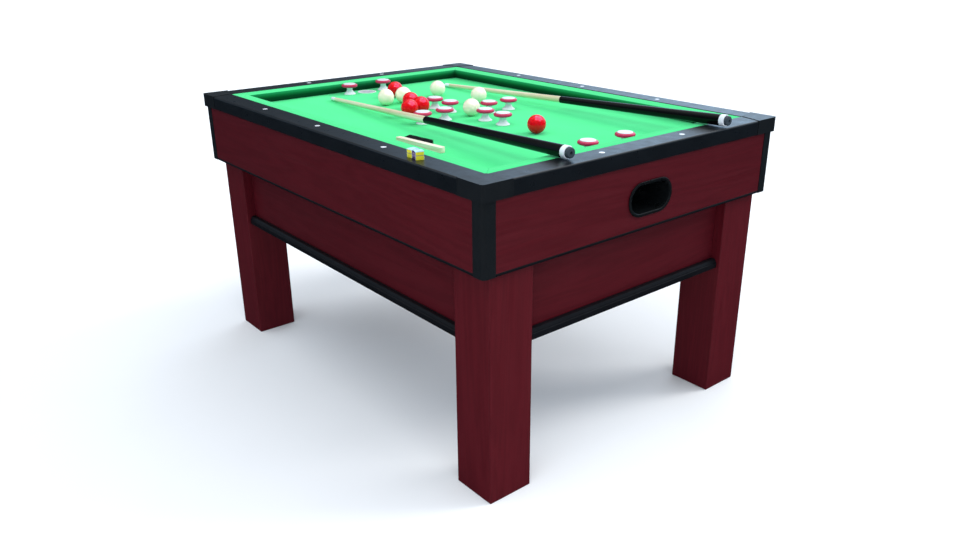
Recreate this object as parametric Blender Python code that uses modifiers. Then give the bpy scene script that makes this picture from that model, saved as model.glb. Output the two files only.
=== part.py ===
"""Bumper pool table: cabinet, bed, bumpers, ball returns, balls, cues, chalk and brush.

Metres, +Z up. The origin is on the floor under the middle of the table. +X runs along the table, and the
long sides face -Y (front) and +Y (rear). Heights are measured from the floor. A side member's section is
drawn as (inset, height), where the inset is measured inwards from the outer face of the rail corners.
"""
from math import cos, pi, radians, sin

import bmesh
import bpy
from mathutils import Matrix, Vector

# Outline and heights
LENGTH = 1.426
WIDTH = 1.056
RAIL_TOP = 0.813
RAIL_BOTTOM = 0.7743
BED_TOP = 0.7776
BED_THICKNESS = 0.018
CABINET_BOTTOM = 0.6013
GAP = 0.0003

# Rails, rail corners and cushions
RAIL_WIDTH = 0.0668
RAIL_INSET = 0.001
LIP_WIDTH = 0.0225
EDGE_ROUND = 0.004
CORNER_REACH = 0.085
CORNER_PROUD = 0.0012
CORNER_ROUND = 0.008
CUSHION_NOSE = 0.1118
CUSHION_FOOT = 0.1016
CUSHION_TOP = 0.8122
NOSE_ROUND = 0.006

# Aprons and corner posts
APRON_INSET = 0.0065
APRON_TOP = RAIL_BOTTOM - GAP
STRIP_INSET = 0.0055
STRIP_HEIGHT = 0.007
CLEAT_BOTTOM = 0.700
POST_INSET = 0.005
POST_WIDTH = 0.036
POST_THICKNESS = 0.0172
POST_ROUND = 0.012

# Legs and lower panels
LEG_WIDTH = 0.129
LEG_INSET = {"front": 0.0375, "rear": 0.0375, "left": 0.023, "right": 0.023}
LEG_BEVEL = 0.002
PANEL_RECESS = 0.029
PANEL_THICKNESS = 0.015
PANEL_TOP = 0.635
PANEL_BOTTOM = 0.397
MOULDING_REACH = 0.020
MOULDING_HEIGHT = 0.026
MOULDING_ROUND = 0.008

# Bed
BED_MARGIN = 0.023
BATTEN_X = (-0.32, 0.32)
BATTEN_SIZE = (0.060, 0.940, 0.025)

# Pockets and ball returns
POCKET_X = 0.5657
POCKET_RADIUS = 0.0312
LINER_OUTER = 0.0309
LINER_INNER = 0.0290
LINER_FLANGE = 0.0325
LINER_FLANGE_THICKNESS = 0.001
LINER_DEPTH = 0.0224
RETURN_Z = 0.683
RETURN_SHIFT = 0.0115
RETURN_STRAIGHT = 0.0355
TUBE_RADIUS = 0.0400
TUBE_WALL = 0.0025
MOUTH_RADIUS = 0.0360
FLANGE_RADIUS = 0.0445
FLANGE_THICKNESS = 0.003
TUBE_BACK_X = 0.5230
CHUTE_OUTER = 0.0330
CHUTE_INNER = 0.0305

# Bumpers
BUMPER_RADIUS = 0.0270
BUMPER_INNER = 0.0849
BUMPER_OUTER = 0.1642
BUMPER_END_Y = 0.0684
STUD_RADIUS = 0.003
STUD_HOLE_RADIUS = 0.004

# Balls, cues, chalk and brush
BALL_RADIUS = 0.026
RED_BALLS = ((-0.4100, 0.0158), (-0.2074, -0.0620), (-0.1082, -0.1349), (-0.1247, -0.0810), (0.3141, -0.0074))
WHITE_BALLS = ((-0.3070, -0.0887), (-0.3060, -0.0226), (-0.3314, 0.1350), (-0.1424, 0.1602), (0.0066, 0.0112))
CUE_LENGTH = 1.187
CUE_TIP_RADIUS = 0.006
CUE_JOINT_RADIUS = 0.010
CUE_BUTT_RADIUS = 0.0152
CUE_RING_RADIUS = 0.0157
CUE_JOINT_AT = 0.490
CUE_BUTTS = ((0.685, -0.2465), (0.7122, 0.306))
CUE_TIPS = ((-0.502, -0.1775), (-0.470, 0.2721))
CHALK_SIZE = 0.0205
CHALKS = ((0.4258, -0.4958, 0.0), (0.4498, -0.4968, -20.0))
BRUSH_BODY = (0.178, 0.017, 0.014)
BRISTLES = (0.094, 0.026, 0.015)
BRISTLE_SHIFT = -0.031
BRISTLE_BOTTOM = 0.0015
BRUSH_PLACE = (0.235, -0.342, 5.5)

# Facets
ARC_STEPS = 4
TURN_STEPS = 14
HOLE_STEPS = 24
CUE_STEPS = 16

HALF_LENGTH = LENGTH / 2
HALF_WIDTH = WIDTH / 2
BED_BOTTOM = BED_TOP - BED_THICKNESS
SIDES = {
    "front": (0, (0, -HALF_WIDTH), HALF_LENGTH),
    "right": (90, (HALF_LENGTH, 0), HALF_WIDTH),
    "rear": (180, (0, HALF_WIDTH), HALF_LENGTH),
    "left": (270, (-HALF_LENGTH, 0), HALF_WIDTH),
}
CORNERS = {
    "front_right": (0, 1, -1),
    "rear_right": (90, 1, 1),
    "rear_left": (180, -1, 1),
    "front_left": (270, -1, -1),
}
MATERIALS = {
    "mahogany": ((0.085, 0.012, 0.014), 0.35, 0.0),
    "black": ((0.012, 0.014, 0.018), 0.40, 0.0),
    "cloth": ((0.08, 0.80, 0.25), 0.90, 0.0),
    "white_plastic": ((0.80, 0.80, 0.78), 0.30, 0.0),
    "red_ball": ((0.70, 0.01, 0.01), 0.10, 0.0),
    "white_ball": ((0.85, 0.83, 0.70), 0.10, 0.0),
    "maple": ((0.75, 0.65, 0.40), 0.35, 0.0),
    "chalk_wrap": ((0.70, 0.65, 0.05), 0.70, 0.0),
}


def clear_scene():
    for thing in list(bpy.data.objects):
        bpy.data.objects.remove(thing, do_unlink=True)


def make_collection(name):
    group = bpy.data.collections.new(name)
    bpy.context.scene.collection.children.link(group)
    return group


def make_material(name, colour, roughness, metallic):
    material = bpy.data.materials.new(name)
    material.use_nodes = True
    shader = material.node_tree.nodes["Principled BSDF"]
    shader.inputs["Base Color"].default_value = (*colour, 1.0)
    shader.inputs["Roughness"].default_value = roughness
    shader.inputs["Metallic"].default_value = metallic
    return material


clear_scene()
TABLE = make_collection("bumper_pool_table")
CUTTERS = make_collection("cutters")


def add_object(name, mesh, finish=None):
    """Link a mesh as a part with its own material, or as a hidden cutter when it has no finish."""
    piece = bpy.data.objects.new(name, mesh)
    if finish:
        TABLE.objects.link(piece)
        mesh.materials.append(make_material(name, *MATERIALS[finish]))
        return piece
    CUTTERS.objects.link(piece)
    piece.hide_render = True
    piece.display_type = "WIRE"
    return piece


def box(name, low, high, finish=None):
    size = Vector(high) - Vector(low)
    bm = bmesh.new()
    bmesh.ops.create_cube(bm, size=1.0, matrix=Matrix.Diagonal((*size, 1.0)))
    mesh = bpy.data.meshes.new(name)
    bm.to_mesh(mesh)
    bm.free()
    piece = add_object(name, mesh, finish)
    piece.location = (Vector(low) + Vector(high)) / 2
    return piece


def cylinder(name, radius, low, high, at, steps=HOLE_STEPS):
    bm = bmesh.new()
    bmesh.ops.create_cone(
        bm, cap_ends=True, segments=steps, radius1=radius, radius2=radius, depth=high - low
    )
    mesh = bpy.data.meshes.new(name)
    bm.to_mesh(mesh)
    bm.free()
    piece = add_object(name, mesh)
    piece.location = (at[0], at[1], (low + high) / 2)
    return piece


def flat_mesh(name, outline, thickness):
    """A filled 2D curve, extruded to both sides of its plane and made a closed mesh."""
    curve = bpy.data.curves.new(name, "CURVE")
    curve.dimensions = "2D"
    curve.fill_mode = "BOTH"
    curve.extrude = thickness / 2
    spline = curve.splines.new("POLY")
    spline.points.add(len(outline) - 1)
    for point, (x, y) in zip(spline.points, outline):
        point.co = (x, y, 0, 1)
    spline.use_cyclic_u = True
    guide = bpy.data.objects.new(name, curve)
    CUTTERS.objects.link(guide)
    graph = bpy.context.evaluated_depsgraph_get()
    mesh = bpy.data.meshes.new_from_object(guide.evaluated_get(graph))
    bpy.data.objects.remove(guide)
    bpy.data.curves.remove(curve)
    bm = bmesh.new()
    bm.from_mesh(mesh)
    bmesh.ops.remove_doubles(bm, verts=bm.verts, dist=0.00001)
    bmesh.ops.recalc_face_normals(bm, faces=bm.faces)
    bm.to_mesh(mesh)
    bm.free()
    return mesh


def prism(name, outline, low, high, finish=None):
    """An outline in plan, raised from one height to another."""
    mesh = flat_mesh(name, outline, high - low)
    mesh.transform(Matrix.Translation((0, 0, (low + high) / 2)))
    return add_object(name, mesh, finish)


def side_member(name, side, section, end_cut, finish):
    """A section of (inset, height) points run along one side; end_cut(inset) shortens each end."""
    angle, place, half = SIDES[side]
    mesh = flat_mesh(name, section, 2 * half)
    mesh.transform(Matrix(((0, 0, 1, 0), (1, 0, 0, 0), (0, 1, 0, 0), (0, 0, 0, 1))))
    for vertex in mesh.vertices:
        end = half - end_cut(vertex.co.y)
        vertex.co.x = end if vertex.co.x > 0 else -end
    piece = add_object(name, mesh, finish)
    piece.rotation_euler.z = radians(angle)
    piece.location = (*place, 0)
    return piece


def corner_piece(name, corner, outline, low, high, inset, finish):
    """An outline drawn for the front right corner, with its outer corner at (0, 0), turned into place."""
    angle, sign_x, sign_y = CORNERS[corner]
    piece = prism(name, outline, low, high, finish)
    piece.rotation_euler.z = radians(angle)
    piece.location = (sign_x * (HALF_LENGTH - inset), sign_y * (HALF_WIDTH - inset), 0)
    return piece


def arc(centre, radius, start, end, steps=ARC_STEPS):
    angles = [radians(start + (end - start) * i / steps) for i in range(steps + 1)]
    return [(centre[0] + radius * cos(a), centre[1] + radius * sin(a)) for a in angles]


def combine(piece, other, operation):
    modifier = piece.modifiers.new(f"{operation.lower()}_{other.name}", "BOOLEAN")
    modifier.operation = operation
    modifier.solver = "EXACT"
    modifier.object = other


def bevel(piece, width, segments=1):
    modifier = piece.modifiers.new("edge_bevel", "BEVEL")
    modifier.width = width
    modifier.segments = segments
    modifier.limit_method = "ANGLE"
    modifier.angle_limit = radians(40)


def smooth(piece, angle=40):
    piece.data.shade_smooth()
    piece.data.set_sharp_from_angle(angle=radians(angle))


def turned(name, profile, finish, steps=TURN_STEPS):
    """A profile of (radius, height) points, listed from top to bottom, turned about Z."""
    mesh = bpy.data.meshes.new(name)
    points = [(radius, 0, height) for radius, height in profile]
    mesh.from_pydata(points, [(i, i + 1) for i in range(len(points) - 1)], [])
    piece = add_object(name, mesh, finish)
    screw = piece.modifiers.new("turn", "SCREW")
    screw.angle = 2 * pi
    screw.steps = steps
    screw.render_steps = steps
    screw.use_merge_vertices = True
    screw.merge_threshold = 0.0001
    screw.use_smooth_shade = True
    return piece


def build_legs():
    for corner, (angle, sign_x, sign_y) in CORNERS.items():
        outer = Vector((HALF_LENGTH - LEG_INSET["right"], HALF_WIDTH - LEG_INSET["front"]))
        inner = outer - Vector((LEG_WIDTH, LEG_WIDTH))
        xs = sorted((sign_x * inner.x, sign_x * outer.x))
        ys = sorted((sign_y * inner.y, sign_y * outer.y))
        top = BED_BOTTOM - GAP
        leg = box(f"leg_{corner}", (xs[0], ys[0], 0), (xs[1], ys[1], top), "mahogany")
        bevel(leg, LEG_BEVEL)


def apron_section(side):
    """Board with a proud strip along its lower edge; the long sides also carry a cleat for the bed."""
    inner = LIP_WIDTH
    outline = [
        (STRIP_INSET, CABINET_BOTTOM),
        (STRIP_INSET, CABINET_BOTTOM + STRIP_HEIGHT),
        (APRON_INSET, CABINET_BOTTOM + STRIP_HEIGHT),
        (APRON_INSET, APRON_TOP),
        (inner, APRON_TOP),
    ]
    if side in ("front", "rear"):
        reach = LEG_INSET[side] - 2 * GAP
        cleat_top = BED_BOTTOM - GAP
        outline += [(inner, cleat_top), (reach, cleat_top), (reach, CLEAT_BOTTOM), (inner, CLEAT_BOTTOM)]
    return outline + [(inner, CABINET_BOTTOM)]


def stadium(radius, straight=RETURN_STRAIGHT, steps=8):
    return arc((straight, 0), radius, -90, 90, steps) + arc((-straight, 0), radius, 90, 270, steps)


def cross_prism(name, radius, low, high, finish=None):
    """A stadium outline across the table, run along X at the ball return's height."""
    mesh = flat_mesh(name, stadium(radius), high - low)
    mesh.transform(Matrix(((0, 0, 1, 0), (1, 0, 0, 0), (0, 1, 0, 0), (0, 0, 0, 1))))
    mesh.transform(Matrix.Translation(((low + high) / 2, RETURN_SHIFT, RETURN_Z)))
    return add_object(name, mesh, finish)


def turn_half(piece, side):
    """Move a piece made for the right end to the left end when asked."""
    if side == "left":
        turn = Matrix.Rotation(pi, 4, "Z")
        piece.matrix_world = turn @ Matrix.LocRotScale(piece.location, piece.rotation_euler, None)


def add_end_details(apron, side):
    """Cut the return opening and add the two cleats, which leave room for the ball return."""
    inner_face = HALF_LENGTH - LIP_WIDTH
    cleat_depth = 0.022
    cleat_start = 0.100
    cleat_end = HALF_WIDTH - LEG_INSET["front"] - LEG_WIDTH - 3 * GAP
    for sign in (-1, 1):
        ys = sorted((sign * cleat_start, sign * cleat_end))
        low = (inner_face - cleat_depth, ys[0], CLEAT_BOTTOM)
        high = (inner_face + 0.002, ys[1], BED_BOTTOM - GAP)
        cleat = box(f"cleat_{side}_{'lower' if sign < 0 else 'upper'}", low, high)
        turn_half(cleat, side)
        combine(apron, cleat, "UNION")
    opening = cross_prism(f"opening_{side}", TUBE_RADIUS + GAP, inner_face - 0.01, HALF_LENGTH)
    turn_half(opening, side)
    combine(apron, opening, "DIFFERENCE")


def build_aprons():
    end = POST_INSET + POST_WIDTH + GAP
    for side in SIDES:
        apron = side_member(f"apron_{side}", side, apron_section(side), lambda inset: end, "mahogany")
        if side in ("left", "right"):
            add_end_details(apron, side)


def build_posts():
    wide, thick = POST_WIDTH, POST_THICKNESS
    outline = arc((-POST_ROUND, POST_ROUND), POST_ROUND, -90, 0)
    outline += [(0, wide), (-thick, wide), (-thick, thick), (-wide, thick), (-wide, 0)]
    for corner in CORNERS:
        corner_piece(f"corner_post_{corner}", corner, outline, CABINET_BOTTOM, APRON_TOP, POST_INSET, "black")


def build_panels():
    for side in SIDES:
        face = LEG_INSET[side] + PANEL_RECESS
        front = face - MOULDING_REACH
        top = PANEL_BOTTOM + MOULDING_HEIGHT
        centre = (front + MOULDING_ROUND, top - MOULDING_ROUND)
        outline = [(front, PANEL_BOTTOM)]
        outline += arc(centre, MOULDING_ROUND, 180, 90)
        outline += [(face, top), (face, PANEL_TOP), (face + PANEL_THICKNESS, PANEL_TOP)]
        outline += [(face + PANEL_THICKNESS, PANEL_BOTTOM)]
        other = "right" if side in ("front", "rear") else "front"
        end = LEG_INSET[other] + LEG_WIDTH + GAP
        side_member(f"lower_panel_{side}", side, outline, lambda inset: end, "mahogany")


def rail_end(inset):
    """How far a rail stops short of the table's corner: its ends lean with the rail corner's edge."""
    return CORNER_REACH - (CORNER_REACH - RAIL_WIDTH) * inset / RAIL_WIDTH + GAP


def build_rails():
    centre = (RAIL_INSET + EDGE_ROUND, RAIL_TOP - EDGE_ROUND)
    outline = [(RAIL_INSET, RAIL_BOTTOM)]
    outline += arc(centre, EDGE_ROUND, 180, 90)
    outline += [(RAIL_WIDTH, RAIL_TOP), (RAIL_WIDTH, BED_TOP + GAP)]
    outline += [(LIP_WIDTH, BED_TOP + GAP), (LIP_WIDTH, RAIL_BOTTOM)]
    for side in SIDES:
        rail = side_member(f"rail_{side}", side, outline, rail_end, "black")
        smooth(rail)


def build_rail_corners():
    outline = arc((-CORNER_ROUND, CORNER_ROUND), CORNER_ROUND, -90, 0)
    outline += [(0, CORNER_REACH), (-RAIL_WIDTH, RAIL_WIDTH), (-CORNER_REACH, 0)]
    top = RAIL_TOP + CORNER_PROUD
    reach = LENGTH
    for corner, (angle, sign_x, sign_y) in CORNERS.items():
        cap = corner_piece(f"rail_corner_{corner}", corner, outline, RAIL_BOTTOM, top, 0, "black")
        xs = sorted((sign_x * (HALF_LENGTH - LIP_WIDTH), sign_x * (HALF_LENGTH - reach)))
        ys = sorted((sign_y * (HALF_WIDTH - LIP_WIDTH), sign_y * (HALF_WIDTH - reach)))
        room = box(f"bed_room_{corner}", (xs[0], ys[0], 0.7), (xs[1], ys[1], BED_TOP + GAP))
        combine(cap, room, "DIFFERENCE")


def build_cushions():
    back = RAIL_WIDTH + GAP
    foot = BED_TOP + GAP
    nose_centre = (CUSHION_NOSE - NOSE_ROUND, CUSHION_TOP - NOSE_ROUND)
    outline = [(back, foot), (back, CUSHION_TOP)]
    outline += arc(nose_centre, NOSE_ROUND, 90, -20, 5)
    outline += [(CUSHION_FOOT, foot)]
    for side in SIDES:
        cushion = side_member(f"cushion_{side}", side, outline, lambda inset: inset + GAP, "cloth")
        smooth(cushion)


def bumper_places():
    near, far, end_y = BUMPER_INNER, BUMPER_OUTER, BUMPER_END_Y
    centre = [(-far, 0), (-near, 0), (near, 0), (far, 0), (0, -far), (0, -near), (0, near), (0, far)]
    return {
        "centre": centre,
        "left": [(-POCKET_X, -end_y), (-POCKET_X, end_y)],
        "right": [(POCKET_X, -end_y), (POCKET_X, end_y)],
    }


def build_bed():
    half_x = HALF_LENGTH - BED_MARGIN
    half_y = HALF_WIDTH - BED_MARGIN
    bed = box("bed", (-half_x, -half_y, BED_BOTTOM), (half_x, half_y, BED_TOP), "cloth")
    wide, long, deep = BATTEN_SIZE
    for index, x in enumerate(BATTEN_X, 1):
        low = (x - wide / 2, -long / 2, BED_BOTTOM - deep)
        high = (x + wide / 2, long / 2, BED_BOTTOM + 0.004)
        combine(bed, box(f"batten_{index}", low, high), "UNION")
    for side, sign in (("left", -1), ("right", 1)):
        hole = cylinder(f"pocket_hole_{side}", POCKET_RADIUS, 0.70, 0.80, (sign * POCKET_X, 0))
        combine(bed, hole, "DIFFERENCE")
    for group, places in bumper_places().items():
        for index, place in enumerate(places, 1):
            hole = cylinder(f"stud_hole_{group}_{index}", STUD_HOLE_RADIUS, 0.70, 0.80, place, 10)
            combine(bed, hole, "DIFFERENCE")


def build_pockets():
    top = BED_TOP + GAP + LINER_FLANGE_THICKNESS
    bottom = BED_TOP - LINER_DEPTH
    for side, sign in (("left", -1), ("right", 1)):
        profile = [
            (LINER_INNER, top),
            (LINER_FLANGE, top),
            (LINER_FLANGE, BED_TOP + GAP),
            (LINER_OUTER, BED_TOP + GAP),
            (LINER_OUTER, bottom),
            (LINER_INNER, bottom),
            (LINER_INNER, top),
        ]
        liner = turned(f"pocket_liner_{side}", profile, "white_plastic", HOLE_STEPS)
        liner.location = (sign * POCKET_X, 0, 0)


def build_returns():
    """Each tray is one moulding: a drop chute, a run under the bed and a flange on the apron."""
    face = HALF_LENGTH - STRIP_INSET
    chute_top = BED_TOP - LINER_DEPTH - 2 * GAP
    for side, sign in (("left", -1), ("right", 1)):
        tray = cross_prism(f"ball_return_{side}", TUBE_RADIUS, TUBE_BACK_X, face + 0.001, "black")
        flange = cross_prism(f"flange_{side}", FLANGE_RADIUS, face + GAP, face + GAP + FLANGE_THICKNESS)
        hollow = cross_prism(
            f"hollow_{side}", TUBE_RADIUS - TUBE_WALL, TUBE_BACK_X + TUBE_WALL, face - 0.004
        )
        mouth = cross_prism(f"mouth_{side}", MOUTH_RADIUS, face - 0.006, face + 0.02)
        chute = cylinder(f"chute_{side}", CHUTE_OUTER, RETURN_Z + 0.02, chute_top, (POCKET_X, 0))
        bore = cylinder(f"bore_{side}", CHUTE_INNER, RETURN_Z, chute_top + 0.01, (POCKET_X, 0))
        for piece in (tray, flange, hollow, mouth, chute, bore):
            turn_half(piece, side)
        combine(tray, flange, "UNION")
        combine(tray, chute, "UNION")
        combine(tray, hollow, "DIFFERENCE")
        combine(tray, mouth, "DIFFERENCE")
        combine(tray, bore, "DIFFERENCE")


def bumper_profile():
    """Cap, rubber ring, flared post, and below the bed's top a stud with its nut."""
    nut_top = -BED_THICKNESS - GAP
    return [
        (0.0, 0.0362),
        (0.0205, 0.0360),
        (0.0248, 0.0342),
        (BUMPER_RADIUS, 0.0300),
        (0.0258, 0.0255),
        (0.0215, 0.0235),
        (0.0095, 0.0230),
        (0.0090, 0.0165),
        (0.0140, 0.0060),
        (0.0205, 0.0018),
        (0.0205, GAP),
        (STUD_RADIUS, GAP),
        (STUD_RADIUS, nut_top),
        (0.0080, nut_top),
        (0.0080, nut_top - 0.006),
        (STUD_RADIUS, nut_top - 0.006),
        (STUD_RADIUS, nut_top - 0.010),
        (0.0, nut_top - 0.010),
    ]


def build_bumpers():
    for group, places in bumper_places().items():
        for index, place in enumerate(places, 1):
            bumper = turned(f"bumper_{group}_{index}", bumper_profile(), "white_plastic")
            bumper.location = (*place, BED_TOP)


def build_balls():
    for colour, places in (("red", RED_BALLS), ("white", WHITE_BALLS)):
        for index, (x, y) in enumerate(places, 1):
            bm = bmesh.new()
            bmesh.ops.create_icosphere(bm, subdivisions=3, radius=BALL_RADIUS)
            mesh = bpy.data.meshes.new(f"ball_{colour}_{index}")
            bm.to_mesh(mesh)
            bm.free()
            mesh.shade_smooth()
            ball = add_object(f"ball_{colour}_{index}", mesh, f"{colour}_ball")
            ball.location = (x, y, BED_TOP + BALL_RADIUS + GAP)


def cue_profile():
    end = CUE_LENGTH
    return [
        (0.0, end),
        (0.0105, end),
        (0.0127, end - 0.002),
        (0.0130, end - 0.0095),
        (CUE_RING_RADIUS, end - 0.0105),
        (CUE_RING_RADIUS, end - 0.0235),
        (CUE_BUTT_RADIUS, end - 0.0245),
        (CUE_JOINT_RADIUS + 0.0006, end * CUE_JOINT_AT + 0.001),
        (CUE_JOINT_RADIUS, end * CUE_JOINT_AT),
        (CUE_TIP_RADIUS + 0.0003, 0.030),
        (CUE_TIP_RADIUS, 0.003),
        (0.0042, 0.0),
        (0.0, 0.0),
    ]


def build_cues():
    """Each cue lies with its tip on the cloth and its butt on the right rail."""
    rest_x = HALF_LENGTH - RAIL_WIDTH
    tip_z = BED_TOP + CUE_TIP_RADIUS + 2 * GAP
    rest_z = RAIL_TOP + CUE_BUTT_RADIUS + 2 * GAP
    for index, (tip, butt) in enumerate(zip(CUE_TIPS, CUE_BUTTS), 1):
        reach = (rest_x - tip[0]) / (butt[0] - tip[0])
        butt_z = tip_z + (rest_z - tip_z) / reach
        end = Vector((*butt, butt_z))
        direction = (end - Vector((*tip, tip_z))).normalized()
        cue = turned(f"cue_{index}", cue_profile(), "maple", CUE_STEPS)
        cue.rotation_euler = direction.to_track_quat("Z", "Y").to_euler()
        cue.location = end - direction * CUE_LENGTH


def build_chalk():
    half = CHALK_SIZE / 2
    for index, (x, y, turn) in enumerate(CHALKS, 1):
        chalk = box(f"chalk_{index}", (-half, -half, -half), (half, half, half), "chalk_wrap")
        chalk.location = (x, y, RAIL_TOP + GAP + half)
        chalk.rotation_euler.z = radians(turn)
        bevel(chalk, 0.001)


def build_brush():
    """The brush lies on its side: wooden body, with its bristles pointing away from the front rail."""
    long, deep, high = BRUSH_BODY
    brush = box("table_brush", (-long / 2, -deep / 2, 0), (long / 2, deep / 2, high), "maple")
    start = BRISTLE_SHIFT - BRISTLES[0] / 2
    low = (start, deep / 2 - 0.001, BRISTLE_BOTTOM)
    high_corner = (start + BRISTLES[0], deep / 2 + BRISTLES[1], BRISTLE_BOTTOM + BRISTLES[2])
    tufts = box("bristle_block", low, high_corner)
    x, y, turn = BRUSH_PLACE
    place = Matrix.Translation((x, y, BED_TOP + GAP)) @ Matrix.Rotation(radians(turn), 4, "Z")
    for piece in (brush, tufts):
        piece.matrix_world = place @ Matrix.Translation(piece.location)
    combine(brush, tufts, "UNION")


build_legs()
build_aprons()
build_posts()
build_panels()
build_rails()
build_rail_corners()
build_cushions()
build_bed()
build_pockets()
build_returns()
build_bumpers()
build_balls()
build_cues()
build_chalk()
build_brush()
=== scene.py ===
"""Looks for the bumper pool table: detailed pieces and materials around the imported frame.

Everything is in metres in the frame's own axes: +X along the table, +Y across it, +Z up. A side member's
section is drawn as (inset, height), with the inset measured inwards from the table's outer edge.
"""
from math import cos, pi, radians, sin, sqrt

import bmesh
import bpy
from mathutils import Matrix, Vector, noise


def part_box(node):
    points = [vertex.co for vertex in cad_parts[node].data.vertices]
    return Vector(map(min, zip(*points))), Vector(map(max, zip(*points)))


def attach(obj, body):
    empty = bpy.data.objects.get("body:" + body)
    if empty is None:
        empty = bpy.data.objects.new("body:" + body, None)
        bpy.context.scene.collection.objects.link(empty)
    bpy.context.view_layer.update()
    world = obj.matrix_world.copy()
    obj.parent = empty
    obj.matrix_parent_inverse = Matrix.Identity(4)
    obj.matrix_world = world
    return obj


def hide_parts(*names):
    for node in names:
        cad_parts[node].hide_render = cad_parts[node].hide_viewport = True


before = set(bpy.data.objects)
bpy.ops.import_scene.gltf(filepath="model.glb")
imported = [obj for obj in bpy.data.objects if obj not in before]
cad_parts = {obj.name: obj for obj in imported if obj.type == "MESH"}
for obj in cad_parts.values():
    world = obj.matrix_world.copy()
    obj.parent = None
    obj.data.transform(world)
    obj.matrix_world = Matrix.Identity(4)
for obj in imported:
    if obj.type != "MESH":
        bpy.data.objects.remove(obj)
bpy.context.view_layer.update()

# Camera: where the photographer stood
CAMERA_AT = (1.964, -1.551, 1.277)
CAMERA_AZIMUTH = 50.263
CAMERA_ELEVATION = 22.136
CAMERA_ROLL = -0.289
CAMERA_LENS = 30.55

# Ways out from the table: to the room's dark end, to its bright corner, and away from the camera
DARK_WAY = (-0.970, 0.100, 0.220)
BRIGHT_WAY = (-0.480, 0.850, 0.220)
AWAY_WAY = (-0.770, 0.640, 0.0)

# Sizes that the frame's boxes don't give
GAP = 0.0003
STRIP_HEIGHT = 0.007
STRIP_ROUND = 0.002
APRON_RECESS = 0.001
APRON_THICKNESS = 0.0155
CLEAT_BOTTOM = 0.700
SIDE_CLEAT_DEPTH = 0.0145
SIDE_CLEAT_STOP = 0.0418
END_CLEAT_DEPTH = 0.022
END_CLEAT_START = 0.100
RAIL_ROUND = 0.0045
RAIL_LIP = 0.0225
CORNER_ROUND = 0.008
POST_ROUND = 0.012
POST_THICKNESS = 0.0172
PANEL_THICKNESS = 0.015
MOULDING_HEIGHT = 0.026
CLOTH_THICKNESS = 0.0005
CLOTH_RISE = 0.0001
CUSHION_UNDERCUT = 0.0102
CUSHION_NOSE_TOP = 0.0030
CUSHION_NOSE_FOOT = 0.0110
# Undercut faces lower than this below the cushion top get the painted shade cloth
NOSE_SHADE_BELOW = 0.0035
BED_CORNER = 0.004
POCKET_HOLE_RADIUS = 0.0312
STUD_HOLE_RADIUS = 0.004
BATTENS_AT = (-0.32, 0.32)
BATTEN_SIZE = (0.940, 0.060, 0.0249)
LINER_RADIUS = 0.0308
LINER_BORE = 0.0289
RETURN_Z = 0.683
RETURN_SHIFT = 0.0115
RETURN_STRAIGHT = 0.0355
RETURN_SETBACK = 0.003
TUBE_RADIUS = 0.0400
TUBE_WALL = 0.0025
CHUTE_RADIUS = 0.0330
CHUTE_SINK = 0.02
BEZEL_RADIUS = 0.0445
SIGHT_RADIUS = 0.0075
SIGHT_INSET = 0.036
SIGHTS = {
    "front": (-0.335, -0.024, 0.297),
    "right": (-0.138, 0.157),
    "rear": (-0.32, 0.0, 0.32),
    "left": (-0.163, 0.136),
}
WASHER_THICKNESS = 0.0012
NUT_RADIUS = 0.0062
NUT_TOP_GAP = 0.0014
CUE_JOINT_AT = 0.490
CHALK_TURNS = (0.0, -20.0)
CHALK_DISH = 0.0022
BRUSH_TURN = 5.5
BRUSH_SIZE = (0.178, 0.017, 0.014)
BRISTLE_RUN = (-0.078, 0.016)
BRISTLE_LENGTH = 0.026
BRISTLE_BOTTOM = 0.0015
BRISTLE_ROWS, BRISTLE_COLUMNS, BRISTLE_STRANDS = 5, 24, 9
BRISTLE_RADII = (0.00045, 0.00028)

# Profiles of the bumper's post and ring: (radius, height above the bed)
BUMPER_POST = [
    (0, 0.0240), (0.0150, 0.0240), (0.0120, 0.0225), (0.0100, 0.0200), (0.0095, 0.0165),
    (0.0105, 0.0125), (0.0130, 0.0085), (0.0165, 0.0050), (0.0195, 0.0030), (0.0205, 0.0020),
    (0.0207, 0.0010), (0.0203, GAP), (0.0035, GAP), (0.0035, -0.001), (0, -0.001),
]
RING_CENTRE = (0.0222, 0.0292)
RING_RADIUS = 0.0048
RING_INSIDE = [(0.0205, 0.0345), (0.0205, 0.0335), (0.0100, 0.0335), (0.0100, 0.0242)]
CAP_BOTTOM = 0.0337

SIDES = ("front", "right", "rear", "left")
CORNER_SIGNS = {
    "front_right": (1, -1), "rear_right": (1, 1), "rear_left": (-1, 1), "front_left": (-1, -1),
}


# ---- frame

def box_of(node):
    low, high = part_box(node)
    return Vector(low), Vector(high)


def centre_of(node):
    low, high = box_of(node)
    return (low + high) / 2


TABLE_HALF = {"x": box_of("rail_corner_front_right")[1].x, "y": box_of("rail_corner_rear_right")[1].y}
BED_TOP = box_of("bed")[1].z
BED_BOTTOM = box_of("leg_front_right")[1].z + GAP
RAIL_TOP = box_of("rail_front")[1].z
RAIL_BOTTOM = box_of("rail_front")[0].z
PLACES = {
    "front": (0, (0, -TABLE_HALF["y"], 0), TABLE_HALF["x"]),
    "right": (90, (TABLE_HALF["x"], 0, 0), TABLE_HALF["y"]),
    "rear": (180, (0, TABLE_HALF["y"], 0), TABLE_HALF["x"]),
    "left": (270, (-TABLE_HALF["x"], 0, 0), TABLE_HALF["y"]),
}


def half_length(node, side):
    """Half of a side member's length, along the table's side that it stands on."""
    low, high = box_of(node)
    return (high.x - low.x) / 2 if side in ("front", "rear") else (high.y - low.y) / 2


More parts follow.
